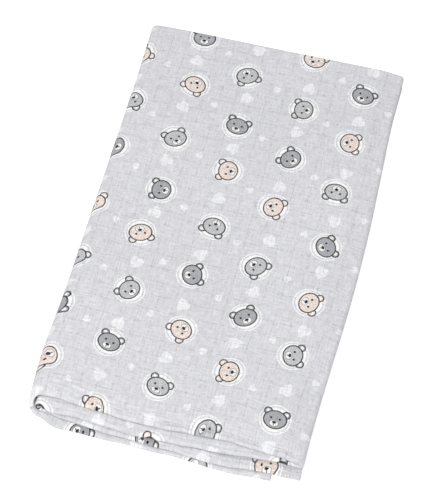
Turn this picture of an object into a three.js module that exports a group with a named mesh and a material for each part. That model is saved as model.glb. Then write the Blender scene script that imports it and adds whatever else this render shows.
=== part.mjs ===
// Folded cloth diaper: one cut sheet of cotton muslin, folded in half lengthwise and then twice across.
// Millimetres, +Z up. X runs across the folded width, Y along its length with the closed fold at -Y.
// The underside of the lowest ply is flat at Z = 0, and the origin is under the middle of the folded stack.

import * as THREE from 'three';

// The cut sheet and the folded stack
const CLOTH = 1.2;
const CUT_LENGTH = 800;
const CUT_WIDTH = 700;
const FOLDED_LENGTH = CUT_WIDTH / 2;
const PLY_PITCH = 1.9;
const INNER_END_SHORT = 0.6;
const OUTER_END_SHORT = 22;

// The stack has 8 plies, so heights are counted in ply pitches from the middle of the lowest ply.
const RUN_LEVEL = { bottom: 0.5, inner: 2.5, under: 4.5, top: 6.5 };
const OUTER_WRAP_RADIUS = 3;
const INNER_WRAP_RADIUS = 1;
const LOOP_RADIUS = 1;
const HALF_PLY = 0.5;
const WRAP_LEVEL = 3.5;
const LOOP_LEVEL = 5.5;

// The ply pitch along the stack: pressed flat at the open end, plump at the closed fold
const PLUMPNESS = [
  { y: -14, pitch: 2.05 },
  { y: -7, pitch: 2.35 },
  { y: 2, pitch: 2.68 },
  { y: 11, pitch: 2.95 },
  { y: 30, pitch: 2.82 },
  { y: 80, pitch: 2.35 },
  { y: 170, pitch: 1.95 },
  { y: 260, pitch: 1.78 },
  { y: 360, pitch: 1.68 },
];

// How far each run's closed fold stands out, and how far its hem lies in from the stack's open end,
// at these shares of the way from its left to its right
const EDGE_PLACES = [0, 0.06, 0.15, 0.28, 0.42, 0.56, 0.7, 0.85, 1];
const NEAR_FOLD = {
  bottom: [7, 11.9, 12.3, 12.9, 13.9, 13.9, 16.9, 15.9, 14.7],
  top: [-3.6, -3, -1.4, 0.6, 2, 1.5, 0.1, 2.6, 3],
  under: [3.4, 5.7, 5.6, 7.9, 8.8, 8.4, 7.3, 5.9, 4],
  inner: [3.9, 6, 7.5, 9.8, 11.6, 12.3, 14.8, 12.6, 11.3],
};
const FAR_HEM = {
  bottom: [4, 3.7, 3.3, 3.2, 4, 4.9, 5.7, 6.4, 7],
  top: [0.6, 0.2, 0.1, 0.2, 0.5, 0.6, 0.6, 0.6, 0.6],
  under: [5, 4.9, 4.7, 4.3, 3.1, 2.7, 3.3, 3.3, 3],
  inner: [6, 5.7, 5.4, 4.8, 4, 4, 5.1, 5.9, 6.5],
};

// How fast those two fade along the stack, as powers of the share of the way
const FOLD_FADE = 1.5;
const HEM_FADE = 2;

// How far the folded sides stand out from straight lines, down the length of the stack
const SIDES = [
  { y: -190, left: -2.5, right: -1.5 },
  { y: -165, left: -0.5, right: -1.5 },
  { y: -130, left: 1, right: -1 },
  { y: -90, left: 0, right: 0.4 },
  { y: -30, left: 0, right: 2.2 },
  { y: 30, left: 0, right: 2 },
  { y: 80, left: 0, right: 0.2 },
  { y: 130, left: 0.2, right: -1.6 },
  { y: 175, left: 1.2, right: -1 },
];

// Soft waves of the whole stack: a share of its height, where they lie and how wide they are
const WAVES = [
  { x: -70, y: 120, wide: 60, long: 16, lift: -0.045 },
  { x: -80, y: 82, wide: 45, long: 12, lift: -0.035 },
  { x: 85, y: 105, wide: 30, long: 26, lift: -0.035 },
  { x: 20, y: 20, wide: 60, long: 30, lift: 0.02 },
  { x: 60, y: -60, wide: 45, long: 40, lift: -0.02 },
  { x: -50, y: -90, wide: 40, long: 36, lift: 0.025 },
];

// The right side sinks past the end of the outer run, by this many ply pitches.
const SINK = 1.5;
const SINK_WIDTH = 21;

// Steps of the mesh
const RUN_PLACES = [0, 0.045, 0.1, 0.19, 0.31, 0.44, 0.57, 0.69, 0.8, 0.89, 0.95, 1];
const OUTER_WRAP_STEPS = 9;
const TURN_STEPS = 6;
const NOSE_STEPS = 6;
const PLY_STEPS = [0, 0.022, 0.045, 0.08, 0.14, 0.24, 0.38, 0.54, 0.7, 0.85, 1];

const WRAPS_LENGTH = Math.PI * PLY_PITCH * (OUTER_WRAP_RADIUS + INNER_WRAP_RADIUS + LOOP_RADIUS);
const LEFT_INSET = (OUTER_WRAP_RADIUS + HALF_PLY) * PLY_PITCH + CLOTH / 2;
const RIGHT_INSET = (LOOP_RADIUS + HALF_PLY) * PLY_PITCH + CLOTH / 2;
const RUN = (CUT_LENGTH - WRAPS_LENGTH + INNER_END_SHORT + OUTER_END_SHORT - 2 * RIGHT_INSET) / 4;
const FOLDED_WIDTH = LEFT_INSET + RUN + RIGHT_INSET;

function column(table, name) {
  return table.map((row) => row[name]);
}

// A smooth curve through values at rising places, by Hermite pieces
function smoothThrough(places, values, at) {
  const last = places.length - 1;
  if (at <= places[0]) return values[0];
  if (at >= places[last]) return values[last];
  const i = places.findIndex((place) => place > at) - 1;
  const slope = (k) => {
    const before = Math.max(k - 1, 0);
    const after = Math.min(k + 1, last);
    return (values[after] - values[before]) / (places[after] - places[before]);
  };
  const width = places[i + 1] - places[i];
  const f = (at - places[i]) / width;
  const keep = 2 * f ** 3 - 3 * f ** 2 + 1;
  const leave = f ** 3 - 2 * f ** 2 + f;
  const arrive = f ** 3 - f ** 2;
  return values[i] * keep + values[i + 1] * (1 - keep)
    + width * (leave * slope(i) + arrive * slope(i + 1));
}

function smoothStep(low, high, at) {
  const f = Math.min(Math.max((at - low) / (high - low), 0), 1);
  return f * f * (3 - 2 * f);
}

// The ply pitch at a place: the plumpness along the stack, with its soft waves
function pitchAt(x, y) {
  let lift = 1;
  for (const wave of WAVES) {
    const acrossIt = (x - wave.x) / wave.wide;
    const alongIt = (y - FOLDED_LENGTH / 2 - wave.y) / wave.long;
    lift += wave.lift * Math.exp(-acrossIt * acrossIt - alongIt * alongIt);
  }
  return smoothThrough(column(PLUMPNESS, 'y'), column(PLUMPNESS, 'pitch'), y) * lift;
}

// The folded strip's stations in order: the outer run under the stack, round the left side to the top run,
// round the right side to the run under it, and round the left side again to the inner run.
function stations() {
  const list = [];
  const run = (name, places, share) => {
    for (const place of places) {
      list.push({ kind: 'run', name, at: place * share });
    }
  };
  const rightward = RUN_PLACES;
  const leftward = [...RUN_PLACES].reverse();
  const turn = (kind, from, to, count) => {
    for (let i = 1; i < count; i++) {
      list.push({ kind, from, to, at: i / count });
    }
  };
  run('bottom', leftward, 1 - (OUTER_END_SHORT - RIGHT_INSET) / RUN);
  turn('outerWrap', 'bottom', 'top', OUTER_WRAP_STEPS);
  run('top', rightward, 1);
  turn('loop', 'top', 'under', TURN_STEPS);
  run('under', leftward, 1);
  turn('innerWrap', 'under', 'inner', TURN_STEPS);
  run('inner', rightward, 1 - (INNER_END_SHORT - RIGHT_INSET) / RUN);
  return list;
}

// The share of the way from the left to the right of the stack
function shareAcross(station) {
  if (station.kind === 'run') return station.at;
  return station.kind === 'loop' ? 1 : 0;
}

// The value of a fold or hem table at a station
function edgeAt(rows, station) {
  if (station.kind === 'run') return smoothThrough(EDGE_PLACES, rows[station.name], station.at);
  const end = station.kind === 'loop' ? EDGE_PLACES.length - 1 : 0;
  const a = rows[station.from][end];
  const b = rows[station.to][end];
  return a + (b - a) * smoothStep(0, 1, station.at);
}

// A point of the sheet's middle surface, from a station and a place on the lengthwise fold.
// alongPly is the distance from the closed fold and side is +0.5 or -0.5, or between the two in the fold.
function sheetPoint(station, alongPly, side, noseDepth) {
  const farShare = alongPly / FOLDED_LENGTH;
  const y = alongPly - noseDepth
    - edgeAt(NEAR_FOLD, station) * (1 - farShare) ** FOLD_FADE
    - edgeAt(FAR_HEM, station) * farShare ** HEM_FADE;
  const pitch = pitchAt((shareAcross(station) - 0.5) * RUN, y);
  const along = y - FOLDED_LENGTH / 2;
  const leftSide = -FOLDED_WIDTH / 2 - smoothThrough(column(SIDES, 'y'), column(SIDES, 'left'), along);
  const rightSide = FOLDED_WIDTH / 2 + smoothThrough(column(SIDES, 'y'), column(SIDES, 'right'), along);
  const left = leftSide + (OUTER_WRAP_RADIUS + HALF_PLY) * pitch + CLOTH / 2;
  const right = rightSide - (LOOP_RADIUS + HALF_PLY) * pitch - CLOTH / 2;
  const turned = Math.PI * station.at;
  let x;
  let level;
  if (station.kind === 'run') {
    const up = station.name === 'top' || station.name === 'inner' ? 1 : -1;
    x = left + (right - left) * station.at;
    level = RUN_LEVEL[station.name] + up * side;
  } else if (station.kind === 'outerWrap') {
    const radius = OUTER_WRAP_RADIUS + side;
    x = left - radius * pitch * Math.sin(turned);
    level = WRAP_LEVEL - radius * Math.cos(turned);
  } else if (station.kind === 'loop') {
    const radius = LOOP_RADIUS + side;
    x = right + radius * pitch * Math.sin(turned);
    level = LOOP_LEVEL + radius * Math.cos(turned);
  } else {
    const radius = INNER_WRAP_RADIUS - side;
    x = left - radius * pitch * Math.sin(turned);
    level = WRAP_LEVEL + radius * Math.cos(turned);
  }
  const sink = SINK * smoothStep(rightSide - SINK_WIDTH, rightSide, x);
  return new THREE.Vector3(x, along, CLOTH / 2 + (level - sink) * pitch);
}

// Places along the cut width: down one ply from its hem, round the closed fold, and back up the other ply
function foldPlaces() {
  const list = [];
  for (const share of [...PLY_STEPS].reverse()) {
    list.push({ share, side: HALF_PLY });
  }
  for (let i = 1; i < NOSE_STEPS; i++) {
    list.push({ share: 0, turned: (Math.PI * i) / NOSE_STEPS });
  }
  for (const share of PLY_STEPS) {
    list.push({ share, side: -HALF_PLY });
  }
  return list;
}

function pointAt(station, place) {
  const noseRadius = HALF_PLY * pitchAt(0, 0);
  if (place.turned === undefined) {
    const alongPly = noseRadius + place.share * (FOLDED_LENGTH - noseRadius);
    return sheetPoint(station, alongPly, place.side, 0);
  }
  const side = HALF_PLY * Math.cos(place.turned);
  return sheetPoint(station, noseRadius, side, noseRadius * Math.sin(place.turned));
}

// The closed sheet: both faces are offset from the middle surface, and four rims close the cut edges.
function foldedSheet() {
  const across = stations();
  const along = foldPlaces();
  const columns = along.length;
  const middle = across.map((station) => along.map((place) => pointAt(station, place)));
  const positions = [];
  for (const face of [1, -1]) {
    for (let i = 0; i < across.length; i++) {
      for (let j = 0; j < columns; j++) {
        const before = middle[Math.max(i - 1, 0)][j];
        const after = middle[Math.min(i + 1, across.length - 1)][j];
        const lower = middle[i][Math.max(j - 1, 0)];
        const upper = middle[i][Math.min(j + 1, columns - 1)];
        const normal = after.clone().sub(before).cross(upper.clone().sub(lower)).normalize();
        const point = middle[i][j].clone().addScaledVector(normal, (face * CLOTH) / 2);
        positions.push(point.x, point.y, point.z);
      }
    }
  }
  const faceSize = across.length * columns;
  const triangles = [];
  const quad = (a, b, c, d) => triangles.push(a, b, c, a, c, d);
  for (let i = 0; i + 1 < across.length; i++) {
    for (let j = 0; j + 1 < columns; j++) {
      const corner = i * columns + j;
      quad(corner, corner + columns, corner + columns + 1, corner + 1);
      const back = corner + faceSize;
      quad(back, back + 1, back + columns + 1, back + columns);
    }
  }
  const rim = (a, b) => quad(a, b, b + faceSize, a + faceSize);
  const lastRow = (across.length - 1) * columns;
  for (let j = 0; j + 1 < columns; j++) {
    rim(j, j + 1);
    rim(lastRow + j + 1, lastRow + j);
  }
  for (let i = 0; i + 1 < across.length; i++) {
    const corner = i * columns;
    rim(corner + columns, corner);
    rim(corner + columns - 1, corner + 2 * columns - 1);
  }
  const geometry = new THREE.BufferGeometry();
  geometry.setAttribute('position', new THREE.Float32BufferAttribute(positions, 3));
  geometry.setIndex(triangles);
  geometry.computeBoundingBox();
  const centre = geometry.boundingBox.getCenter(new THREE.Vector3());
  geometry.translate(-centre.x, -centre.y, 0);
  geometry.computeVertexNormals();
  return geometry;
}

const printedMuslin = new THREE.MeshStandardMaterial({
  color: 0xd9dae0,
  roughness: 0.95,
  metalness: 0,
});

const cloth = new THREE.Mesh(foldedSheet(), printedMuslin);
cloth.name = 'cloth';

const diaper = new THREE.Group();
diaper.add(cloth);

export default diaper;
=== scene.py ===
import math

import bpy
import numpy as np
from mathutils import Matrix, Vector


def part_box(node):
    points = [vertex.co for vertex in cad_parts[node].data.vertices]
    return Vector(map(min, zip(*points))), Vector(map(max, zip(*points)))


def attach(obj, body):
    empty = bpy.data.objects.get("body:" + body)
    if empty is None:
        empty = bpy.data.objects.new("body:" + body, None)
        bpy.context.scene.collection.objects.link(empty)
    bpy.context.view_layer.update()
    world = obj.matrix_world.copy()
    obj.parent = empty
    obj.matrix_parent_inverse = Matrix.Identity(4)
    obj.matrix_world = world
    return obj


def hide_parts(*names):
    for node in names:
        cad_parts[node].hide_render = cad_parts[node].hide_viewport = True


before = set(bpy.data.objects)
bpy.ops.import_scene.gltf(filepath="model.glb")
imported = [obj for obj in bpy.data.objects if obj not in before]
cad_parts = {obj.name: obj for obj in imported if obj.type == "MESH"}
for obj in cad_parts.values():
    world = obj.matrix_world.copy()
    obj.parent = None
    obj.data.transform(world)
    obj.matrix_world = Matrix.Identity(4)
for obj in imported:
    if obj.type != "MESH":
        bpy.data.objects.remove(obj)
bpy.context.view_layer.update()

bl_info = {
    "name": "Folded muslin cloth",
    "version": (1, 0, 0),
    "blender": (4, 5, 0),
    "location": "3D View > Sidebar > Muslin",
    "description": "Makes a folded printed muslin cloth, its hem stitches and a plain pale studio",
    "category": "Add Mesh",
}

MM = 0.001


def linear(hex_colour):
    """An sRGB hex colour as linear values."""
    parts = [int(hex_colour[i:i + 2], 16) / 255 for i in (1, 3, 5)]
    return tuple(c / 12.92 if c <= 0.04045 else ((c + 0.055) / 1.055) ** 2.4 for c in parts)


# The folded stack. Heights are counted in ply pitches from the middle of the lowest ply.
RUN_LEVEL = {"bottom": 0.5, "inner": 2.5, "under": 4.5, "top": 6.5}
RUNS_WITH_FRONT_PLY_UP = ("top", "inner")
OUTER_WRAP_RADIUS = 3
INNER_WRAP_RADIUS = 1
LOOP_RADIUS = 1
HALF_PLY = 0.5
WRAP_LEVEL = 3.5
LOOP_LEVEL = 5.5
MEAN_PITCH = 1.9
INNER_END_SHORT = 0.6
OUTER_END_SHORT = 22

# The ply pitch in mm along the stack, from its closed folds to its open end
PLUMPNESS = [
    {"y": -14, "pitch": 2.05},
    {"y": -7, "pitch": 2.35},
    {"y": 2, "pitch": 2.68},
    {"y": 11, "pitch": 2.95},
    {"y": 30, "pitch": 2.82},
    {"y": 80, "pitch": 2.35},
    {"y": 170, "pitch": 1.95},
    {"y": 260, "pitch": 1.78},
    {"y": 360, "pitch": 1.68},
]

# How far in mm each run's closed fold stands out, and how far its hem lies in from the open end,
# at these shares of the way from its left to its right
EDGE_PLACES = [0, 0.06, 0.15, 0.28, 0.42, 0.56, 0.7, 0.85, 1]
NEAR_FOLD = {
    "bottom": [7, 11.9, 12.3, 12.9, 13.9, 13.9, 16.9, 15.9, 14.7],
    "top": [-3.6, -3, -1.4, 0.6, 2, 1.5, 0.1, 2.6, 3],
    "under": [3.4, 5.7, 5.6, 7.9, 8.8, 8.4, 7.3, 5.9, 4],
    "inner": [3.9, 6, 7.5, 9.8, 11.6, 12.3, 14.8, 12.6, 11.3],
}
FAR_HEM = {
    "bottom": [4, 3.7, 3.3, 3.2, 4, 4.9, 5.7, 6.4, 7],
    "top": [0.6, 0.2, 0.1, 0.2, 0.5, 0.6, 0.6, 0.6, 0.6],
    "under": [5, 4.9, 4.7, 4.3, 3.1, 2.7, 3.3, 3.3, 3],
    "inner": [6, 5.7, 5.4, 4.8, 4, 4, 5.1, 5.9, 6.5],
}
FOLD_FADE = 1.5
HEM_FADE = 2

# How far in mm the folded sides stand out from straight lines
SIDES = [
    {"y": -190, "left": -2.5, "right": -1.5},
    {"y": -165, "left": -0.5, "right": -1.5},
    {"y": -130, "left": 1, "right": -1},
    {"y": -90, "left": 0, "right": 0.4},
    {"y": -30, "left": 0, "right": 2.2},
    {"y": 30, "left": 0, "right": 2},
    {"y": 80, "left": 0, "right": 0.2},
    {"y": 130, "left": 0.2, "right": -1.6},
    {"y": 175, "left": 1.2, "right": -1},
]

# Soft waves of the whole stack, as shares of its height
WAVES = [
    {"x": -70, "y": 120, "wide": 60, "long": 16, "lift": -0.045},
    {"x": -80, "y": 82, "wide": 45, "long": 12, "lift": -0.035},
    {"x": 85, "y": 105, "wide": 30, "long": 26, "lift": -0.035},
    {"x": 20, "y": 20, "wide": 60, "long": 30, "lift": 0.02},
    {"x": 60, "y": -60, "wide": 45, "long": 40, "lift": -0.02},
    {"x": -50, "y": -90, "wide": 40, "long": 36, "lift": 0.025},
]

# The right side sinks past the end of the outer run, by this many ply pitches.
SINK = 1.5
SINK_WIDTH = 21

# Creases pressed into the upper ply of a run, straight from one place to another. Each place is given by its
# share of the way across and its distance from the closed fold. Half widths and heights are in mm.
CREASES = {
    "top": [
        {"from": (0.03, 12.6), "to": (0.27, 9.4), "half": 0.9, "height": 0.60},
        {"from": (0.03, 10.6), "to": (0.27, 7.4), "half": 0.9, "height": -0.75},
        {"from": (0.27, 9.4), "to": (0.54, 11.0), "half": 0.9, "height": 0.50},
        {"from": (0.27, 7.4), "to": (0.54, 9.0), "half": 0.9, "height": -0.65},
        {"from": (0.02, 5.2), "to": (0.30, 5.6), "half": 0.8, "height": 0.50},
        {"from": (0.02, 3.3), "to": (0.30, 3.7), "half": 0.8, "height": -0.85},
        {"from": (0.40, 6.3), "to": (1.0, 6.1), "half": 0.9, "height": 0.55},
        {"from": (0.40, 3.6), "to": (1.0, 3.7), "half": 1.1, "height": -0.95},
        {"from": (0.40, 1.1), "to": (1.0, 1.1), "half": 1.1, "height": 1.00},
        {"from": (0.02, 318), "to": (0.36, 310), "half": 9.0, "height": -0.55},
        {"from": (0.0, 277), "to": (0.28, 282), "half": 6.0, "height": -0.40},
        {"from": (0.55, 308), "to": (0.98, 300), "half": 10.0, "height": -0.35},
        {"from": (0.93, 170), "to": (1.0, 166), "half": 2.5, "height": -0.35},
        {"from": (0.08, 30), "to": (0.2, 200), "half": 12.0, "height": 0.25},
        {"from": (0.72, 60), "to": (0.66, 250), "half": 14.0, "height": -0.25},
    ],
    "under": [
        {"from": (0.02, 1.6), "to": (0.90, 1.5), "half": 1.0, "height": 0.35},
        {"from": (0.10, 3.0), "to": (0.44, 5.0), "half": 0.9, "height": -0.45},
        {"from": (0.44, 5.0), "to": (0.88, 2.6), "half": 0.9, "height": -0.40},
    ],
    "inner": [
        {"from": (0.60, 7.4), "to": (1.0, 7.2), "half": 1.4, "height": -0.85},
        {"from": (0.46, 1.8), "to": (0.78, 3.8), "half": 0.8, "height": -0.50},
        {"from": (0.78, 3.8), "to": (1.0, 2.6), "half": 0.8, "height": -0.50},
    ],
}
CREASE_END = 12

# Slow ripples of the plies and of the closed folds: lengths in mm and heights in mm
RIPPLES = [
    {"across": 83, "along": 140, "turn": 0.4, "height": 0.10},
    {"across": 51, "along": -97, "turn": 2.1, "height": 0.08},
    {"across": -37, "along": 61, "turn": 4.4, "height": 0.05},
]
RIPPLE_EDGE = 0.06
RIPPLE_FADE = 25
FOLD_RIPPLES = [
    {"length": 64, "turn": 0.9, "height": 0.25},
    {"length": 33, "turn": 2.6, "height": 0.20},
    {"length": 19, "turn": 5.0, "height": 0.12},
]

# Hem: the cut edge is turned to the reverse and stitched down.
HEM_WIDTH = 5.0
HEM_EXTRA = 0.3
HEM_SLOPE = 0.9
EDGE_ROUND = 0.45
STITCH_PITCH = 3.1
STITCH_LENGTH = 2.3
STITCH_RADIUS = 0.19
STITCH_FROM_EDGE = 4.1
STITCH_SIDES = 6

# Rings of points along a stitch: share of its length, girth and rise in stitch radii
STITCH_RINGS = [
    {"share": 0.0, "girth": 0.35, "rise": -0.6},
    {"share": 0.18, "girth": 0.95, "rise": 0.0},
    {"share": 0.5, "girth": 1.0, "rise": 0.12},
    {"share": 0.82, "girth": 0.95, "rise": 0.0},
    {"share": 1.0, "girth": 0.35, "rise": -0.6},
]

# Steps of the sheet's mesh
TOP_RUN_STEPS = 60
HIDDEN_RUN_STEPS = 34
EDGE_STEPS = 7
EDGE_SHARE = 0.1
OUTER_WRAP_STEPS = 13
TURN_STEPS = 9
FRONT_STEPS = {"fold": 37, "middle": 70, "hem": 7}
BACK_STEPS = {"fold": 24, "middle": 34, "hem": 5}
NOSE_STEPS = 9
FOLD_ZONE = 18
HEM_ZONE = 6.5

# Where each part of the sheet lies on the bake map, as shares of its height
BAKE_STRIPS = {
    "printed": (0.205, 1.0),
    "printed rim": (0.199, 0.203),
    "reverse rim": (0.193, 0.197),
    "reverse": (0.0, 0.191),
}
BAKE_MARGIN = 0.003

# Print: one motif to a cell of a half-drop layout, in mm
CELL_WIDE = 45.0
CELL_LONG = 49.0
SCATTERS = {
    "bear": {"x": 9.0, "y": 28.0, "stray": 8.0, "seed": 3.0},
    "heart": {"x": 9.0, "y": 52.5, "stray": 5.0, "seed": 11.0},
    "small heart": {"x": 31.5, "y": 40.0, "stray": 7.0, "seed": 19.0},
}
DISC_RADIUS = 9.9
RING_RADIUS = 11.6
RING_HALF = 0.55
RING_DOTS = 36
RING_STRENGTH = {"mean": 0.72, "swing": 0.16}
INK_EDGE = 0.28
LINE_EDGE = 0.12
HEART_EDGE = 0.3

# Stippled fur and broken outlines: size of the patches in mm, and their tones
STIPPLE = 0.95
FUR_TONE = {"From Min": 0.35, "From Max": 0.65, "To Min": 0.80, "To Max": 1.10}
LINE_BREAKS = {"From Min": 0.36, "From Max": 0.56, "To Min": 1.0, "To Max": 0.86}
INKS = ("ground", "ground_light", "heart", "disc", "grey", "dark", "peach", "cream", "line")
FURS = ("grey", "peach", "dark")

# The bear's head in mm, drawn in this order and mirrored about its middle
BEAR_PARTS = [
    {"x": 6.9, "y": 5.6, "wide": 2.8, "high": 2.8, "ink": "fur", "line": 0.52},
    {"x": 7.1, "y": 5.9, "wide": 1.3, "high": 1.3, "ink": "cream", "line": 0.0},
    {"x": 0.0, "y": 0.0, "wide": 8.6, "high": 7.2, "ink": "fur", "line": 0.52},
    {"x": 0.0, "y": -3.1, "wide": 3.4, "high": 2.5, "ink": "cream", "line": 0.15},
    {"x": 0.0, "y": -2.2, "wide": 1.6, "high": 1.1, "ink": "line", "line": 0.0},
    {"x": 0.0, "y": -3.9, "wide": 0.3, "high": 1.1, "ink": "line", "line": 0.0},
    {"x": 3.3, "y": 1.0, "wide": 0.85, "high": 0.95, "ink": "line", "line": 0.0},
]
HEARTS = {"heart": 4.9, "small heart": 2.8}
HEART_DIP = 0.72

# Weave: the threads that show, and the checks where the two gauze layers are tied, in mm
THREAD_PITCH = 1.15
SLUB_LENGTH = 9.0
CHECK_PITCH = 12.4
CHECK_HALF = 0.36
CHECK_DRIFT = 3.2
CHECK_DRIFT_LENGTH = 70.0
DASH_LENGTH = 2.6
DASHES = {"From Min": 0.40, "From Max": 0.62}
PUCKER_LENGTH = 7.0
DYE_LENGTH = 90.0
THREAD_TWIST = 0.7
TWIST_SHADES = (0.88, 1.0)
SELVEDGE = 6.0
SELVEDGE_EDGE = 0.6

THREAD_TONE = {"From Min": 0.3, "From Max": 0.7, "To Min": 0.78, "To Max": 1.21}
THREAD_GLOSS = {"From Min": 0.3, "From Max": 0.7, "To Min": 0.98, "To Max": 0.88}
INK_TAKEN = {"From Min": 0.38, "From Max": 0.56}
INK_LEAST = 0.88
REVERSE_INK = 0.35
CHECK_TONE = 0.16
PUCKER_HEIGHT = 0.30
THREAD_HEIGHT = 0.30
CHECK_DEPTH = 0.12

# Soft lamps pointed at the stack: places and sizes in metres, and shares of the key light's power
LAMPS = [
    {"name": "Key light", "place": (-0.15, -1.05, 2.15), "size": 0.7, "share": 1.0},
    {"name": "Top light", "place": (-0.5, 0.3, 1.9), "size": 1.8, "share": 0.12},
]
CAMERA_OFF = {"right": -0.00295, "up": -0.00225}
FLOOR_DROP = 0.0002


def smooth_through(places, values, at):
    """A smooth curve through values at rising places, by Hermite pieces."""
    places = np.asarray(places, float)
    values = np.asarray(values, float)
    at = np.clip(at, places[0], places[-1])
    before = np.maximum(np.arange(len(places)) - 1, 0)
    after = np.minimum(np.arange(len(places)) + 1, len(places) - 1)
    slopes = (values[after] - values[before]) / (places[after] - places[before])
    i = np.clip(np.searchsorted(places, at, side="right") - 1, 0, len(places) - 2)
    width = places[i + 1] - places[i]
    f = (at - places[i]) / width
    keep = 2 * f**3 - 3 * f**2 + 1
    leave = f**3 - 2 * f**2 + f
    arrive = f**3 - f**2
    ends = values[i] * keep + values[i + 1] * (1 - keep)
    return ends + width * (leave * slopes[i] + arrive * slopes[i + 1])


def smooth_step(low, high, at):
    """From 0 at low to 1 at high, level at both ends."""
    f = np.clip((at - low) / (high - low), 0, 1)
    return f * f * (3 - 2 * f)


def curve(table, name, y):
    """One column of a table, smooth between its places along the stack."""
    return smooth_through([row["y"] for row in table], [row[name] for row in table], y)


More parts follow.
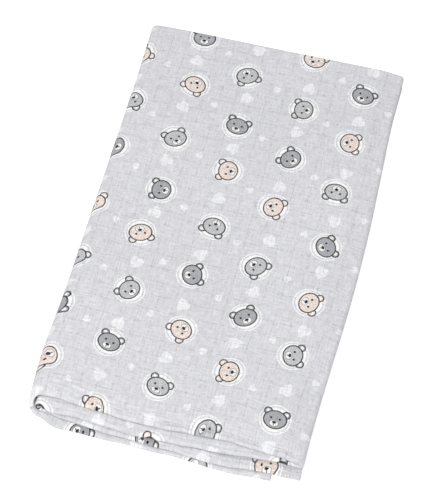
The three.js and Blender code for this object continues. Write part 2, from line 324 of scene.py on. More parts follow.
class Stack:
    """The folded sheet's middle surface in mm, worked out from the cut size."""

    def __init__(self, cut_length, cut_width, cloth):
        self.cloth = cloth
        self.length = cut_width / 2
        wraps = math.pi * MEAN_PITCH * (OUTER_WRAP_RADIUS + INNER_WRAP_RADIUS + LOOP_RADIUS)
        left_inset = (OUTER_WRAP_RADIUS + HALF_PLY) * MEAN_PITCH + cloth / 2
        right_inset = (LOOP_RADIUS + HALF_PLY) * MEAN_PITCH + cloth / 2
        spare = INNER_END_SHORT + OUTER_END_SHORT - 2 * right_inset
        self.run = (cut_length - wraps + spare) / 4
        self.width = left_inset + self.run + right_inset
        self.bottom_share = 1 - (OUTER_END_SHORT - right_inset) / self.run
        self.inner_share = 1 - (INNER_END_SHORT - right_inset) / self.run
        self.nose = HALF_PLY * float(self.pitch(0.0, 0.0))

    def pitch(self, x, y):
        """The ply pitch in mm, across and along the stack."""
        lift = 1.0
        for wave in WAVES:
            across = (x - wave["x"]) / wave["wide"]
            along = (y - self.length / 2 - wave["y"]) / wave["long"]
            lift = lift + wave["lift"] * np.exp(-across * across - along * along)
        return curve(PLUMPNESS, "pitch", y) * lift

    def stations(self):
        """Places down the cut length, each with its distance along the cut in mm."""

        def shares(steps):
            fine = np.linspace(0, EDGE_SHARE, EDGE_STEPS)
            return np.unique(np.round(np.concatenate([np.linspace(0, 1, steps + 1), fine, 1 - fine]), 4))

        found = []
        start = 0.0
        parts = [
            ("bottom", -1, self.bottom_share, HIDDEN_RUN_STEPS),
            ("outer_wrap", OUTER_WRAP_RADIUS, ("bottom", "top"), OUTER_WRAP_STEPS),
            ("top", 1, 1.0, TOP_RUN_STEPS),
            ("loop", LOOP_RADIUS, ("top", "under"), TURN_STEPS),
            ("under", -1, 1.0, HIDDEN_RUN_STEPS),
            ("inner_wrap", INNER_WRAP_RADIUS, ("under", "inner"), TURN_STEPS),
            ("inner", 1, self.inner_share, HIDDEN_RUN_STEPS),
        ]
        for name, size, reach, steps in parts:
            if name in RUN_LEVEL:
                places = shares(steps)[::size] * reach
                for at in places:
                    found.append({"kind": "run", "name": name, "at": at,
                                  "cut": start + abs(at - places[0]) * self.run})
                start += reach * self.run
            else:
                length = math.pi * size * MEAN_PITCH
                for at in np.arange(1, steps) / steps:
                    found.append({"kind": name, "between": reach, "at": at, "cut": start + at * length})
                start += length
        return found

    def places(self):
        """Places down the cut width: from the fold, the ply's side, the nose's depth, and along the cut."""

        def distances(steps):
            fold = np.linspace(self.nose, FOLD_ZONE, steps["fold"])
            middle = np.linspace(FOLD_ZONE, self.length - HEM_ZONE, steps["middle"])[1:]
            hem = np.linspace(self.length - HEM_ZONE, self.length, steps["hem"])[1:]
            return np.concatenate([fold, middle, hem])

        front = distances(FRONT_STEPS)[::-1]
        back = distances(BACK_STEPS)
        turned = math.pi * np.arange(1, NOSE_STEPS) / NOSE_STEPS
        along = np.concatenate([front, np.full(len(turned), self.nose), back])
        side = np.concatenate([
            np.full(len(front), HALF_PLY), HALF_PLY * np.cos(turned), np.full(len(back), -HALF_PLY),
        ])
        depth = np.concatenate([np.zeros(len(front)), self.nose * np.sin(turned), np.zeros(len(back))])
        cut = np.concatenate([
            self.length - front, self.length + self.nose * (turned / math.pi * 2 - 1), self.length + back,
        ])
        return along, side, depth, cut

    def edge(self, rows, station):
        """A closed fold's or a hem's offset in mm at one station."""
        if station["kind"] == "run":
            return float(smooth_through(EDGE_PLACES, rows[station["name"]], station["at"]))
        end = -1 if station["kind"] == "loop" else 0
        a, b = (rows[name][end] for name in station["between"])
        return a + (b - a) * float(smooth_step(0, 1, station["at"]))

    def points(self, station, along, side, depth):
        """The middle surface at one station, for all the places down the cut width."""
        kind = station["kind"]
        far = along / self.length
        fold = self.edge(NEAR_FOLD, station)
        for ripple in FOLD_RIPPLES:
            turn = station["cut"] / ripple["length"]
            fold += ripple["height"] * math.sin(2 * math.pi * turn + ripple["turn"])
        y = along - depth - fold * (1 - far) ** FOLD_FADE
        y = y - self.edge(FAR_HEM, station) * far**HEM_FADE
        across = {"run": station["at"], "loop": 1.0}.get(kind, 0.0)
        pitch = self.pitch((across - 0.5) * self.run, y)
        middle = y - self.length / 2
        left_side = -self.width / 2 - curve(SIDES, "left", middle)
        right_side = self.width / 2 + curve(SIDES, "right", middle)
        left = left_side + (OUTER_WRAP_RADIUS + HALF_PLY) * pitch + self.cloth / 2
        right = right_side - (LOOP_RADIUS + HALF_PLY) * pitch - self.cloth / 2
        turned = math.pi * station["at"]
        if kind == "run":
            up = 1 if station["name"] in RUNS_WITH_FRONT_PLY_UP else -1
            x = left + (right - left) * station["at"]
            level = RUN_LEVEL[station["name"]] + up * side
        elif kind == "outer_wrap":
            radius = OUTER_WRAP_RADIUS + side
            x = left - radius * pitch * math.sin(turned)
            level = WRAP_LEVEL - radius * math.cos(turned)
        elif kind == "loop":
            radius = LOOP_RADIUS + side
            x = right + radius * pitch * math.sin(turned)
            level = LOOP_LEVEL + radius * math.cos(turned)
        else:
            radius = INNER_WRAP_RADIUS - side
            x = left - radius * pitch * math.sin(turned)
            level = WRAP_LEVEL + radius * math.cos(turned)
        sink = SINK * smooth_step(right_side - SINK_WIDTH, right_side, x)
        return np.stack([x, middle, self.cloth / 2 + (level - sink) * pitch], -1)

    def relief(self, station, along, side, cut):
        """How far in mm the cloth stands out of the smooth fold, towards its printed side."""
        height = np.zeros(len(along))
        if station.get("name") not in CREASES:
            return height
        for ripple in RIPPLES:
            turn = station["cut"] / ripple["across"] + cut / ripple["along"]
            height += ripple["height"] * np.sin(2 * math.pi * turn + ripple["turn"])
        height *= smooth_step(0, RIPPLE_EDGE, station["at"]) * smooth_step(1, 1 - RIPPLE_EDGE, station["at"])
        height *= smooth_step(self.length, self.length - RIPPLE_FADE, along)
        upper = side if station["name"] in RUNS_WITH_FRONT_PLY_UP else -side
        for crease in CREASES[station["name"]]:
            start = np.array(crease["from"]) * (self.run, 1)
            way = np.array(crease["to"]) * (self.run, 1) - start
            reach = float(np.hypot(*way))
            way = way / reach
            across = station["at"] * self.run - start[0]
            down = along - start[1]
            past = across * way[0] + down * way[1]
            off = across * way[1] - down * way[0]
            starts = smooth_step(-CREASE_END, CREASE_END, past)
            ends = smooth_step(reach + CREASE_END, reach - CREASE_END, past)
            pressed = crease["height"] * starts * ends * np.exp(-((off / crease["half"]) ** 2))
            height += pressed * smooth_step(0, HALF_PLY, upper)
        return height


def grid_normals(points):
    """Unit normals of a grid of points, towards the reverse of the cloth."""
    down = np.gradient(points, axis=0)
    over = np.gradient(points, axis=1)
    normals = np.cross(down, over)
    return normals / np.linalg.norm(normals, axis=-1, keepdims=True)


def folded_cloth(sizes):
    """The grids of the middle surface, its normals and its cut coordinates, all in mm."""
    stack = Stack(sizes.cut_length / MM, sizes.cut_width / MM, sizes.cloth / MM)
    stations = stack.stations()
    along, side, depth, cut = stack.places()
    middle = np.array([stack.points(station, along, side, depth) for station in stations])
    relief = np.array([stack.relief(station, along, side, cut) for station in stations])
    middle = middle - grid_normals(middle) * relief[..., None]
    length_cut = np.array([station["cut"] for station in stations])
    return middle, grid_normals(middle), length_cut, cut


def walk_border(rows, columns):
    """The grid's places round the cut edge, in order."""
    border = [(i, 0) for i in range(rows)]
    border += [(rows - 1, j) for j in range(1, columns)]
    border += [(i, columns - 1) for i in range(rows - 2, -1, -1)]
    border += [(0, j) for j in range(columns - 2, 0, -1)]
    return border


def rounded_edge(middle, centre, border):
    """Points just past the cut edge, which round it."""
    rows, columns = middle.shape[:2]
    edge = []
    for i, j in border:
        out = np.zeros(3)
        if i in (0, rows - 1):
            step = middle[i, j] - middle[1 if i == 0 else rows - 2, j]
            out += step / np.linalg.norm(step)
        if j in (0, columns - 1):
            step = middle[i, j] - middle[i, 1 if j == 0 else columns - 2]
            out += step / np.linalg.norm(step)
        edge.append(centre[i, j] + EDGE_ROUND * out / np.linalg.norm(out))
    return np.array(edge)


def bake_map(share, front, back, rim_count):
    """The bake map's coordinates of all face corners: both sides and both halves of the rim, in strips."""
    flat = []
    for (low, high), corner in ((BAKE_STRIPS["printed"], front), (BAKE_STRIPS["reverse"], back)):
        flat.append(share[corner] * (1, high - low) + (0, low))
    place = np.arange(rim_count + 1) / rim_count
    rims = np.empty((rim_count, 2, 4, 2))
    for face, strip in enumerate(("printed rim", "reverse rim")):
        low, high = BAKE_STRIPS[strip]
        for corner, (after, y) in enumerate(((0, high), (1, high), (1, low), (0, low))):
            rims[:, face, corner] = np.stack([place[after:rim_count + after], np.full(rim_count, y)], -1)
    flat.append(rims.reshape(-1, 4, 2))
    return np.concatenate(flat).reshape(-1, 2) * (1 - 2 * BAKE_MARGIN) + BAKE_MARGIN


def place_in_box(points):
    """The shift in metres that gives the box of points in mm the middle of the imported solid's box."""
    low, high = (np.array(corner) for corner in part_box("cloth"))
    middle = (points.reshape(-1, 3).min(0) + points.reshape(-1, 3).max(0)) / 2 * MM
    shift = (low + high) / 2 - middle
    return Vector((shift[0], shift[1], 0.0))


def new_object(name, vertices, faces, materials, shift):
    mesh = bpy.data.meshes.new(name)
    mesh.from_pydata(vertices, [], faces)
    mesh.transform(Matrix.Translation(shift) @ Matrix.Scale(MM, 4))
    mesh.shade_smooth()
    for material in materials:
        mesh.materials.append(material)
    piece = bpy.data.objects.new(name, mesh)
    bpy.context.collection.objects.link(piece)
    return piece


def add(tree, kind, inputs=None, **settings):
    """Adds a node with its settings, and sets or links its inputs by name or number."""
    node = tree.nodes.new(kind)
    for name, value in settings.items():
        setattr(node, name, value)
    for key, value in (inputs or {}).items():
        if isinstance(value, bpy.types.NodeSocket):
            tree.links.new(value, node.inputs[key])
        else:
            node.inputs[key].default_value = value
    return node


def scatter(tree, cloth_mm, spot):
    """Coordinates in mm from the middle of the nearest motif of a kind, turned its own way, and its cell."""
    moved = add(tree, "ShaderNodeVectorMath", {0: cloth_mm, 1: (-spot["x"], -spot["y"], 0)}, operation="ADD")
    place = add(tree, "ShaderNodeSeparateXYZ", {0: moved.outputs[0]})
    wide = add(tree, "ShaderNodeMath", {0: place.outputs["X"], 1: CELL_WIDE}, operation="DIVIDE")
    across = add(tree, "ShaderNodeMath", {0: wide.outputs[0]}, operation="ROUND")
    odd = add(tree, "ShaderNodeMath", {0: across.outputs[0], 1: 2.0}, operation="FLOORED_MODULO")
    dropped = add(
        tree, "ShaderNodeMath", {0: odd.outputs[0], 1: CELL_LONG / 2, 2: place.outputs["Y"]},
        operation="MULTIPLY_ADD",
    )
    long = add(tree, "ShaderNodeMath", {0: dropped.outputs[0], 1: CELL_LONG}, operation="DIVIDE")
    down = add(tree, "ShaderNodeMath", {0: long.outputs[0]}, operation="ROUND")
    cell = add(tree, "ShaderNodeCombineXYZ", {0: across.outputs[0], 1: down.outputs[0], 2: spot["seed"]})
    size = (CELL_WIDE, CELL_LONG, 0)
    centre = add(tree, "ShaderNodeVectorMath", {0: cell.outputs[0], 1: size}, operation="MULTIPLY")
    point = add(tree, "ShaderNodeCombineXYZ", {0: place.outputs["X"], 1: dropped.outputs[0]})
    local = add(
        tree, "ShaderNodeVectorMath", {0: point.outputs[0], 1: centre.outputs[0]}, operation="SUBTRACT",
    )
    chance = add(tree, "ShaderNodeTexWhiteNoise", {0: cell.outputs[0]}, noise_dimensions="3D")
    stray = add(
        tree, "ShaderNodeVectorMath",
        {0: chance.outputs["Color"], 1: (-spot["stray"],) * 2 + (0,), 2: (spot["stray"] / 2,) * 2 + (0,)},
        operation="MULTIPLY_ADD",
    )
    strayed = add(tree, "ShaderNodeVectorMath", {0: local.outputs[0], 1: stray.outputs[0]}, operation="ADD")
    angle = add(tree, "ShaderNodeMath", {0: chance.outputs["Value"], 1: 2 * math.pi}, operation="MULTIPLY")
    turned = add(
        tree, "ShaderNodeVectorRotate", {"Vector": strayed.outputs[0], "Angle": angle.outputs[0]},
        rotation_type="Z_AXIS",
    )
    return turned.outputs[0], cell.outputs[0]


def print_shape(tree, below, distance, ink, edge=INK_EDGE, strength=None):
    """Prints one ink over what is below it, inside a shape: distance is in mm past its edge."""
    inside = add(
        tree, "ShaderNodeMapRange", {"Value": distance, "From Min": edge, "From Max": -edge},
        interpolation_type="SMOOTHSTEP",
    ).outputs[0]
    if strength is not None:
        inside = add(tree, "ShaderNodeMath", {0: inside, 1: strength}, operation="MULTIPLY").outputs[0]
    mixed = add(tree, "ShaderNodeMix", {"Factor": inside, 6: below, 7: ink}, data_type="RGBA")
    return mixed.outputs[2]


def print_line(tree, below, distance, half, ink, strength=None):
    """Prints a line of one ink along the edge of a shape."""
    beside = add(tree, "ShaderNodeMath", {0: distance}, operation="ABSOLUTE").outputs[0]
    past = add(tree, "ShaderNodeMath", {0: beside, 1: half}, operation="SUBTRACT").outputs[0]
    return print_shape(tree, below, past, ink, LINE_EDGE, strength)


def from_oval(tree, place, part):
    """The distance in mm past the edge of an oval."""
    wide, high = part["wide"], part["high"]
    unit = add(
        tree, "ShaderNodeVectorMath",
        {0: place, 1: (1 / wide, 1 / high, 0), 2: (-part["x"] / wide, -part["y"] / high, 0)},
        operation="MULTIPLY_ADD",
    ).outputs[0]
    length = add(tree, "ShaderNodeVectorMath", {0: unit}, operation="LENGTH").outputs["Value"]
    size = (wide + high) / 2
    return add(tree, "ShaderNodeMath", {0: length, 1: size, 2: -size}, operation="MULTIPLY_ADD").outputs[0]


def print_bears(tree, cloth_mm, ground, inks):
    """Plain bear heads, each on a pale disc in a thin dotted ring, in three furs by turns."""
    local, cell = scatter(tree, cloth_mm, SCATTERS["bear"])
    place = add(tree, "ShaderNodeSeparateXYZ", {0: local})
    disc = from_oval(tree, local, {"x": 0, "y": 0, "wide": DISC_RADIUS, "high": DISC_RADIUS})
    colour = print_shape(tree, ground, disc, inks["disc"])
    around = add(
        tree, "ShaderNodeMath", {0: place.outputs["Y"], 1: place.outputs["X"]}, operation="ARCTAN2",
    ).outputs[0]
    swing = add(tree, "ShaderNodeMath", {0: around, 1: RING_DOTS}, operation="MULTIPLY").outputs[0]
    dots = add(tree, "ShaderNodeMath", {0: swing}, operation="SINE").outputs[0]
    dotted = add(
        tree, "ShaderNodeMath", {0: dots, 1: RING_STRENGTH["swing"], 2: RING_STRENGTH["mean"]},
        operation="MULTIPLY_ADD",
    ).outputs[0]
    ring = from_oval(tree, local, {"x": 0, "y": 0, "wide": RING_RADIUS, "high": RING_RADIUS})
    colour = print_line(tree, colour, ring, RING_HALF, inks["disc"], dotted)

    counted = add(tree, "ShaderNodeVectorMath", {0: cell, 1: (1, 2, 0)}, operation="DOT_PRODUCT")
    turn = add(
        tree, "ShaderNodeMath", {0: counted.outputs["Value"], 1: len(FURS)}, operation="FLOORED_MODULO",
    ).outputs[0]
    share = add(
        tree, "ShaderNodeMath", {0: turn, 1: 1 / len(FURS), 2: 0.5 / len(FURS)}, operation="MULTIPLY_ADD",
    ).outputs[0]
    fur = add(tree, "ShaderNodeValToRGB", {0: share})
    fur.color_ramp.interpolation = "CONSTANT"
    stops = fur.color_ramp.elements
    stops.new(0.5)
    for number, name in enumerate(FURS):
        stops[number].position = number / len(FURS)
        stops[number].color = inks[name]
    stipple = add(
        tree, "ShaderNodeTexNoise", {"Vector": cloth_mm, "Scale": 1 / STIPPLE, "Detail": 1.0},
        noise_dimensions="2D",
    ).outputs[0]
    shade = add(tree, "ShaderNodeMapRange", {"Value": stipple, **FUR_TONE}).outputs[0]
    fur = add(tree, "ShaderNodeVectorMath", {0: fur.outputs[0], 3: shade}, operation="SCALE").outputs[0]
    broken = add(tree, "ShaderNodeMapRange", {"Value": stipple, **LINE_BREAKS}).outputs[0]
    mirrored = add(tree, "ShaderNodeVectorMath", {0: local}, operation="ABSOLUTE").outputs[0]
    half = add(tree, "ShaderNodeSeparateXYZ", {0: mirrored}).outputs["X"]
    face = add(tree, "ShaderNodeCombineXYZ", {0: half, 1: place.outputs["Y"]}).outputs[0]
    for part in BEAR_PARTS:
        distance = from_oval(tree, face, part)
        ink = fur if part["ink"] == "fur" else inks[part["ink"]]
        colour = print_shape(tree, colour, distance, ink)
        if part["line"]:
            colour = print_line(tree, colour, distance, part["line"], inks["line"], broken)
    return colour


def print_hearts(tree, cloth_mm, ground, name, ink):
    """Soft pale hearts of one size."""
    local, _ = scatter(tree, cloth_mm, SCATTERS[name])
    size = HEARTS[name]
    place = add(
        tree, "ShaderNodeVectorMath", {0: local, 1: (1 / size, 1 / size, 0)}, operation="MULTIPLY",
    ).outputs[0]
    parts = add(tree, "ShaderNodeSeparateXYZ", {0: place})
    wide = add(tree, "ShaderNodeMath", {0: parts.outputs["X"]}, operation="ABSOLUTE").outputs[0]
    root = add(tree, "ShaderNodeMath", {0: wide}, operation="SQRT").outputs[0]
    high = add(
        tree, "ShaderNodeMath", {0: root, 1: -HEART_DIP, 2: parts.outputs["Y"]}, operation="MULTIPLY_ADD",
    ).outputs[0]
    bent = add(tree, "ShaderNodeCombineXYZ", {0: wide, 1: high}).outputs[0]
    length = add(tree, "ShaderNodeVectorMath", {0: bent}, operation="LENGTH").outputs["Value"]
    distance = add(
        tree, "ShaderNodeMath", {0: length, 1: size, 2: -size}, operation="MULTIPLY_ADD",
    ).outputs[0]
    return print_shape(tree, ground, distance, ink, HEART_EDGE)


def weave(tree, cloth_mm):
    """Slubby threads both ways, and the dashed checks where the two layers are tied: both from 0 to 1."""
    threads = 0.0
    for stretch in ((SLUB_LENGTH, THREAD_PITCH, 1), (THREAD_PITCH, SLUB_LENGTH, 1)):
        place = add(tree, "ShaderNodeVectorMath", {0: cloth_mm, 1: stretch}, operation="DIVIDE").outputs[0]
        noise = add(
            tree, "ShaderNodeTexNoise", {"Vector": place, "Scale": 1.0, "Detail": 3.0, "Roughness": 0.8},
            noise_dimensions="2D",
        ).outputs[0]
        threads = add(
            tree, "ShaderNodeMath", {0: noise, 1: 0.5, 2: threads}, operation="MULTIPLY_ADD",
        ).outputs[0]

    drift = add(
        tree, "ShaderNodeTexNoise", {"Vector": cloth_mm, "Scale": 1 / CHECK_DRIFT_LENGTH, "Detail": 2.0},
        noise_dimensions="2D",
    ).outputs["Color"]
    drifted = add(
        tree, "ShaderNodeVectorMath", {0: drift, 1: (CHECK_DRIFT,) * 3, 2: cloth_mm},
        operation="MULTIPLY_ADD",
    ).outputs[0]
    place = add(tree, "ShaderNodeSeparateXYZ", {0: drifted})
    checks = 0.0
    for axis, stretch in (("X", (CHECK_PITCH, DASH_LENGTH, 1)), ("Y", (DASH_LENGTH, CHECK_PITCH, 1))):
        beside = add(
            tree, "ShaderNodeMath", {0: place.outputs[axis], 1: CHECK_PITCH / 2}, operation="PINGPONG",
        ).outputs[0]
        line = add(
            tree, "ShaderNodeMapRange",
            {"Value": beside, "From Min": CHECK_HALF + LINE_EDGE, "From Max": CHECK_HALF - LINE_EDGE},
            interpolation_type="SMOOTHSTEP",
        ).outputs[0]
        along = add(tree, "ShaderNodeVectorMath", {0: cloth_mm, 1: stretch}, operation="DIVIDE").outputs[0]
        dash = add(
            tree, "ShaderNodeTexNoise", {"Vector": along, "Scale": 1.0, "Detail": 1.0}, noise_dimensions="2D",
        ).outputs[0]
        shown = add(tree, "ShaderNodeMapRange", {"Value": dash, **DASHES}).outputs[0]
        line = add(tree, "ShaderNodeMath", {0: line, 1: shown}, operation="MULTIPLY").outputs[0]
        checks = add(tree, "ShaderNodeMath", {0: line, 1: checks}, operation="MAXIMUM").outputs[0]
    return threads, checks


def muslin(name, colours, cut_length, ink_strength):
    """Cotton muslin double gauze, printed with pigments that sink among its threads.

    Two open gauze layers scatter light, so it is matt with a faint fuzz, slubby threads show as fine
    streaks, and the ties that hold the layers together show as dashed darker checks. Its threads are about
    0.5 mm apart, too fine for the picture, so they are drawn about 1.2 mm apart.
    """
    material = bpy.data.materials.new(name)
    material.use_nodes = True
    tree = material.node_tree
    shader = tree.nodes["Principled BSDF"]
    inks = {ink: (*getattr(colours, ink), 1.0) for ink in INKS}
    cut = add(tree, "ShaderNodeUVMap", uv_map="Cut").outputs[0]
    cloth_mm = add(
        tree, "ShaderNodeVectorMath", {0: cut, 1: (1 / MM, 1 / MM, 0)}, operation="MULTIPLY",
    ).outputs[0]
    threads, checks = weave(tree, cloth_mm)

    dye, puckers = (
        add(
            tree, "ShaderNodeTexNoise", {"Vector": cloth_mm, "Scale": 1 / size, "Detail": detail},
            noise_dimensions="2D",
        ).outputs[0]
        for size, detail in ((DYE_LENGTH, 3.0), (PUCKER_LENGTH, 2.0))
    )
    ground = add(
        tree, "ShaderNodeMix", {"Factor": dye, 6: inks["ground"], 7: inks["ground_light"]}, data_type="RGBA",
    ).outputs[2]
    printed = print_hearts(tree, cloth_mm, ground, "heart", inks["heart"])
    printed = print_hearts(tree, cloth_mm, printed, "small heart", inks["heart"])
    printed = print_bears(tree, cloth_mm, printed, inks)
    taken = add(
        tree, "ShaderNodeMapRange",
        {"Value": threads, **INK_TAKEN, "To Min": INK_LEAST * ink_strength, "To Max": ink_strength},
    ).outputs[0]
    down = add(tree, "ShaderNodeSeparateXYZ", {0: cloth_mm}).outputs["X"]
    from_end = add(tree, "ShaderNodeMath", {0: down, 1: cut_length / MM / 2}, operation="PINGPONG").outputs[0]
    past_selvedge = add(
        tree, "ShaderNodeMapRange",
        {"Value": from_end, "From Min": SELVEDGE - SELVEDGE_EDGE, "From Max": SELVEDGE + SELVEDGE_EDGE},
    ).outputs[0]
    taken = add(tree, "ShaderNodeMath", {0: taken, 1: past_selvedge}, operation="MULTIPLY").outputs[0]
    inked = add(tree, "ShaderNodeMix", {"Factor": taken, 6: ground, 7: printed}, data_type="RGBA").outputs[2]

    streaks = add(tree, "ShaderNodeMapRange", {"Value": threads, **THREAD_TONE}).outputs[0]
    tied = add(
        tree, "ShaderNodeMath", {0: checks, 1: -CHECK_TONE, 2: 1.0}, operation="MULTIPLY_ADD",
    ).outputs[0]
    tone = add(tree, "ShaderNodeMath", {0: streaks, 1: tied}, operation="MULTIPLY").outputs[0]
    colour = add(tree, "ShaderNodeVectorMath", {0: inked, 3: tone}, operation="SCALE").outputs[0]
    tree.links.new(colour, shader.inputs["Base Color"])

    height = 0.0
    for part, lift in ((puckers, PUCKER_HEIGHT), (threads, THREAD_HEIGHT), (checks, -CHECK_DEPTH)):
        height = add(
            tree, "ShaderNodeMath", {0: part, 1: lift, 2: height}, operation="MULTIPLY_ADD",
        ).outputs[0]
    bump = add(tree, "ShaderNodeBump", {"Height": height, "Strength": 1.0, "Distance": MM})
    tree.links.new(bump.outputs[0], shader.inputs["Normal"])
    rough = add(tree, "ShaderNodeMapRange", {"Value": threads, **THREAD_GLOSS}).outputs[0]
    tree.links.new(rough, shader.inputs["Roughness"])
    shader.inputs["Specular IOR Level"].default_value = 0.15
    shader.inputs["Sheen Weight"].default_value = 0.05
    shader.inputs["Sheen Roughness"].default_value = 0.6
    return material


def cotton_thread(colours):
    """Spun cotton sewing thread: matt, with its twist as small changes of tone."""
    material = bpy.data.materials.new("Spun cotton thread")
    material.use_nodes = True
    tree = material.node_tree
    shader = tree.nodes["Principled BSDF"]
    place = add(tree, "ShaderNodeTexCoord").outputs["Object"]
    scale = 1 / (THREAD_TWIST * MM)
    twist = add(tree, "ShaderNodeTexNoise", {"Vector": place, "Scale": scale, "Detail": 2.0})
    shades = [(*(shade * part for part in colours.thread), 1.0) for shade in TWIST_SHADES]
    colour = add(
        tree, "ShaderNodeMix", {"Factor": twist.outputs[0], 6: shades[0], 7: shades[1]}, data_type="RGBA",
    ).outputs[2]
    tree.links.new(colour, shader.inputs["Base Color"])
    shader.inputs["Roughness"].default_value = 0.85
    return material


def opal_acrylic(colour, glow):
    """Opal acrylic, cast and lit from below as on a light table: white and even, so shadows stay faint."""
    material = bpy.data.materials.new("Opal acrylic")
    material.use_nodes = True
    shader = material.node_tree.nodes["Principled BSDF"]
    shader.inputs["Base Color"].default_value = (*colour, 1.0)
    shader.inputs["Emission Color"].default_value = (1.0, 1.0, 1.0, 1.0)
    shader.inputs["Emission Strength"].default_value = glow
    shader.inputs["Roughness"].default_value = 0.9
    shader.inputs["Specular IOR Level"].default_value = 0.1
    return material


def setting(name, description, default, **settings):
    return bpy.props.FloatProperty(name=name, description=description, default=default, **settings)


def size_setting(name, description, default, **settings):
    return setting(name, description, default, unit="LENGTH", subtype="DISTANCE", **settings)


def colour_setting(name, description, hex_colour):
    return bpy.props.FloatVectorProperty(
        name=name, description=description, default=linear(hex_colour), subtype="COLOR", size=3,
        min=0, max=1,
    )


class ClothSizes(bpy.types.PropertyGroup):
    """Sizes of the cut cloth."""

    cut_length: size_setting("Cut length", "Length of the cut, folded across in four", 0.8)
    cut_width: size_setting("Cut width", "Width of the cut, folded once along its middle", 0.7)
    cloth: size_setting("Thickness", "Thickness of the two gauze layers together", 0.0010, precision=4)


class PrintColours(bpy.types.PropertyGroup):
    """Colours of the cloth, its print and its thread."""

    ground: colour_setting("Ground", "Pale grey dye", "#CBCBCF")
    ground_light: colour_setting("Ground, light", "Where the cloth took less dye", "#D3D3D7")
    heart: colour_setting("Hearts", "Pale hearts", "#E3E3E6")
    disc: colour_setting("Discs", "Discs and rings around the heads", "#F0F0F0")
    grey: colour_setting("Grey", "Grey fur", "#BFC0C3")
    dark: colour_setting("Dark grey", "Dark grey fur", "#A6A7AC")
    peach: colour_setting("Peach", "Peach fur", "#E6D8CF")
    cream: colour_setting("Cream", "Muzzles and inner ears", "#E8E6E5")
    line: colour_setting("Line", "Outlines, eyes and noses", "#0E0E11")
    thread: colour_setting("Thread", "Sewing thread of the hem", "#DADADF")


class StageSettings(bpy.types.PropertyGroup):
    """The floor, the lights and the camera."""

    floor: colour_setting("Floor", "Colour of the floor", "#AAAAAA")
    floor_glow: setting("Floor glow", "Light from below the floor", 0.75, min=0)
    floor_size: size_setting("Floor size", "Side of the floor", 8.0)
    sky: setting("Even light", "Light from all round", 0.455, min=0)
    key: setting("Key light", "Soft light high in front", 38.5, min=0, subtype="POWER")
    camera_turn: setting(
        "Camera turn", "Turn of the camera from the closed folds, to the right",
        math.radians(14.12), subtype="ANGLE",
    )
    camera_tilt: setting("Camera tilt", "How far the camera looks down", math.radians(58.22), subtype="ANGLE")
    camera_distance: size_setting("Camera distance", "From the camera to the stack", 1.6437)
    lens: setting("Lens", "Focal length", 155.92, unit="CAMERA", subtype="DISTANCE_CAMERA")


class MUSLIN_OT_cloth(bpy.types.Operator):
    """Make the folded sheet of printed muslin with its turned hem"""

    bl_idname = "muslin.cloth"
    bl_label = "Folded cloth"

    def execute(self, context):
        sizes = context.scene.muslin_sizes
        colours = context.scene.muslin_colours
        middle, normals, length_cut, width_cut = folded_cloth(sizes)
        rows, columns = middle.shape[:2]
        half = sizes.cloth / MM / 2
        from_edge = np.minimum(
            np.minimum(length_cut, length_cut[-1] - length_cut)[:, None],
            np.minimum(width_cut, width_cut[-1] - width_cut)[None, :],
        )
        hem = HEM_EXTRA * smooth_step(HEM_WIDTH + HEM_SLOPE, HEM_WIDTH - HEM_SLOPE, from_edge)
        printed = middle - normals * half
        reverse = middle + normals * (half + hem)[..., None]

        border = walk_border(rows, columns)
        edge = rounded_edge(middle, (printed + reverse) / 2, border)
        count = rows * columns
        cells = (np.arange(rows - 1)[:, None] * columns + np.arange(columns - 1)[None, :]).ravel()
        front = np.stack([cells, cells + 1, cells + columns + 1, cells + columns], -1)
        back = np.stack([cells, cells + columns, cells + columns + 1, cells + 1], -1) + count
        faces = front.tolist() + back.tolist()
        print_faces = len(front)
        rim = [i * columns + j for i, j in border]
        for k, here in enumerate(rim):
            following = (k + 1) % len(rim)
            there = rim[following]
            a, b = 2 * count + k, 2 * count + following
            faces.append([here, there, b, a])
            faces.append([a, b, there + count, here + count])

        vertices = np.concatenate([printed.reshape(-1, 3), reverse.reshape(-1, 3), edge])
        shift = place_in_box(vertices)
        materials = [
            muslin("Cotton muslin, printed side", colours, sizes.cut_length, 1.0),
            muslin("Cotton muslin, reverse side", colours, sizes.cut_length, REVERSE_INK),
        ]
        piece = new_object("cloth_sheet", vertices.tolist(), faces, materials, shift)
        mesh = piece.data
        sides = np.ones(len(faces), dtype=np.int32)
        sides[:print_faces] = 0
        sides[2 * print_faces::2] = 0
        turned_over = from_edge.ravel()[front].mean(axis=1) < HEM_WIDTH
        sides[print_faces:2 * print_faces][turned_over] = 0
        mesh.polygons.foreach_set("material_index", sides)
        cut = np.stack(np.meshgrid(length_cut, width_cut, indexing="ij"), -1).reshape(-1, 2) * MM
        cut = np.concatenate([cut, cut, np.array([cut[here] for here in rim])])
        corners = np.empty(len(mesh.loops), dtype=np.int32)
        mesh.loops.foreach_get("vertex_index", corners)
        mesh.uv_layers.new(name="Cut")
        mesh.uv_layers["Cut"].uv.foreach_set("vector", cut[corners].astype(np.float32).ravel())

        share = np.stack(np.meshgrid(
            length_cut / length_cut[-1], width_cut / width_cut[-1], indexing="ij",
        ), -1).reshape(-1, 2)
        flat = bake_map(share, front, back - count, len(rim))
        mesh.uv_layers.new(name="OFBake")
        mesh.uv_layers["OFBake"].uv.foreach_set("vector", flat.astype(np.float32).ravel())
        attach(piece, "root")
        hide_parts("cloth")
        context.scene["muslin_shift"] = list(shift)
        return {"FINISHED"}


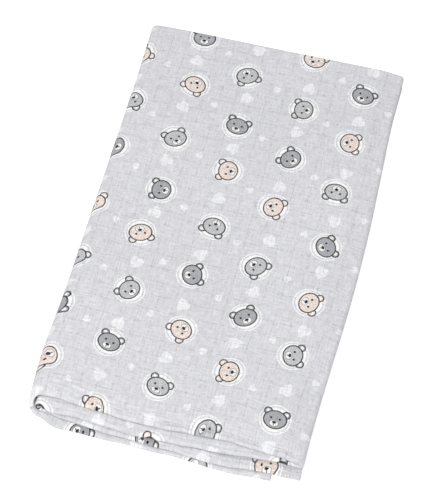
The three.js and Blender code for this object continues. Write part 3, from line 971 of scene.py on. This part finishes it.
class MUSLIN_OT_stitches(bpy.types.Operator):
    """Sew the hem down along the four cut edges"""

    bl_idname = "muslin.stitches"
    bl_label = "Hem stitches"

    def execute(self, context):
        sizes = context.scene.muslin_sizes
        middle, normals, length_cut, width_cut = folded_cloth(sizes)
        half = sizes.cloth / MM / 2

        def at(grid, u, v):
            i = np.clip(np.searchsorted(length_cut, u) - 1, 0, len(length_cut) - 2)
            j = np.clip(np.searchsorted(width_cut, v) - 1, 0, len(width_cut) - 2)
            a = (u - length_cut[i]) / (length_cut[i + 1] - length_cut[i])
            b = (v - width_cut[j]) / (width_cut[j + 1] - width_cut[j])
            low = grid[i, j] * (1 - a) + grid[i + 1, j] * a
            high = grid[i, j + 1] * (1 - a) + grid[i + 1, j + 1] * a
            return low * (1 - b) + high * b

        long, wide = length_cut[-1], width_cut[-1]
        inset = STITCH_FROM_EDGE
        lines = []
        for v in (inset, wide - inset):
            lines += [((u, v), (1, 0)) for u in np.arange(inset, long - inset, STITCH_PITCH)]
        for u in (inset, long - inset):
            lines += [((u, v), (0, 1)) for v in np.arange(inset, wide - inset, STITCH_PITCH)]
        turns = 2 * math.pi * np.arange(STITCH_SIDES) / STITCH_SIDES
        vertices, faces = [], []
        for (u, v), (du, dv) in lines:
            for outward, lift in ((-1, half), (1, half + HEM_EXTRA)):
                start = at(middle, u, v)
                end = at(middle, u + du * STITCH_LENGTH, v + dv * STITCH_LENGTH)
                normal = outward * at(normals, u + du * STITCH_LENGTH / 2, v + dv * STITCH_LENGTH / 2)
                normal /= np.linalg.norm(normal)
                sideways = np.cross(end - start, normal)
                sideways /= np.linalg.norm(sideways)
                first = len(vertices)
                for ring in STITCH_RINGS:
                    centre = start + (end - start) * ring["share"]
                    centre = centre + normal * (lift + ring["rise"] * STITCH_RADIUS)
                    for turn in turns:
                        spoke = sideways * math.cos(turn) + normal * math.sin(turn)
                        vertices.append(centre + spoke * ring["girth"] * STITCH_RADIUS)
                sides = STITCH_SIDES
                for ring in range(len(STITCH_RINGS) - 1):
                    for k in range(sides):
                        a = first + ring * sides + k
                        b = first + ring * sides + (k + 1) % sides
                        faces.append([a, b, b + sides, a + sides])
                faces.append(list(range(first, first + sides))[::-1])
                last = first + (len(STITCH_RINGS) - 1) * sides
                faces.append(list(range(last, last + sides)))
        shift = Vector(context.scene["muslin_shift"])
        thread = cotton_thread(context.scene.muslin_colours)
        piece = new_object("hem_stitches", np.array(vertices).tolist(), faces, [thread], shift)
        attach(piece, "root")
        return {"FINISHED"}


class MUSLIN_OT_stage(bpy.types.Operator):
    """Set the pale floor, the soft light and the camera"""

    bl_idname = "muslin.stage"
    bl_label = "Stage"

    def execute(self, context):
        scene = context.scene
        stage = scene.muslin_stage
        half = stage.floor_size / 2
        corners = [(-half, -half, 0), (half, -half, 0), (half, half, 0), (-half, half, 0)]
        mesh = bpy.data.meshes.new("floor")
        mesh.from_pydata(corners, [], [(0, 1, 2, 3)])
        mesh.materials.append(opal_acrylic(stage.floor, stage.floor_glow))
        floor = bpy.data.objects.new("floor", mesh)
        floor.location.z = -FLOOR_DROP
        scene.collection.objects.link(floor)

        world = bpy.data.worlds.new("Studio")
        world.use_nodes = True
        sky = world.node_tree.nodes["Background"]
        sky.inputs["Color"].default_value = (1.0, 1.0, 1.0, 1.0)
        sky.inputs["Strength"].default_value = stage.sky
        scene.world = world
        for lamp in LAMPS:
            data = bpy.data.lights.new(lamp["name"], "AREA")
            data.energy = stage.key * lamp["share"]
            data.size = lamp["size"]
            light = bpy.data.objects.new(lamp["name"], data)
            light.location = lamp["place"]
            light.rotation_euler = Vector(lamp["place"]).to_track_quat("Z", "Y").to_euler()
            scene.collection.objects.link(light)

        turn, tilt = stage.camera_turn, stage.camera_tilt
        back = Vector((math.sin(turn) * math.cos(tilt), -math.cos(turn) * math.cos(tilt), math.sin(tilt)))
        right = Vector((math.cos(turn), math.sin(turn), 0.0))
        up = back.cross(right)
        camera = bpy.data.objects.new("Camera", bpy.data.cameras.new("Camera"))
        camera.data.lens = stage.lens
        camera.data.clip_end = 100.0
        camera.location = right * CAMERA_OFF["right"] + up * CAMERA_OFF["up"] + back * stage.camera_distance
        camera.rotation_euler = Matrix((right, up, back)).transposed().to_euler()
        scene.collection.objects.link(camera)
        scene.camera = camera
        scene.view_settings.view_transform = "Standard"
        return {"FINISHED"}


class MUSLIN_PT_panel(bpy.types.Panel):
    """Buttons and settings for the folded cloth."""

    bl_label = "Folded muslin cloth"
    bl_idname = "MUSLIN_PT_panel"
    bl_space_type = "VIEW_3D"
    bl_region_type = "UI"
    bl_category = "Muslin"

    def draw(self, context):
        layout = self.layout
        for operator in OPERATORS:
            layout.operator(operator.bl_idname)
        for name in GROUPS:
            group = getattr(context.scene, name)
            for setting in group.bl_rna.properties.keys():
                if setting not in ("rna_type", "name"):
                    layout.prop(group, setting)


OPERATORS = (MUSLIN_OT_stage, MUSLIN_OT_cloth, MUSLIN_OT_stitches)
GROUPS = {"muslin_sizes": ClothSizes, "muslin_colours": PrintColours, "muslin_stage": StageSettings}
CLASSES = (*GROUPS.values(), *OPERATORS, MUSLIN_PT_panel)


def register():
    for cls in CLASSES:
        bpy.utils.register_class(cls)
    for name, group in GROUPS.items():
        setattr(bpy.types.Scene, name, bpy.props.PointerProperty(type=group))


def unregister():
    for name in GROUPS:
        delattr(bpy.types.Scene, name)
    for cls in reversed(CLASSES):
        bpy.utils.unregister_class(cls)


def main():
    register()
    bpy.ops.muslin.stage()
    bpy.ops.muslin.cloth()
    bpy.ops.muslin.stitches()


if __name__ == "__main__":
    main()
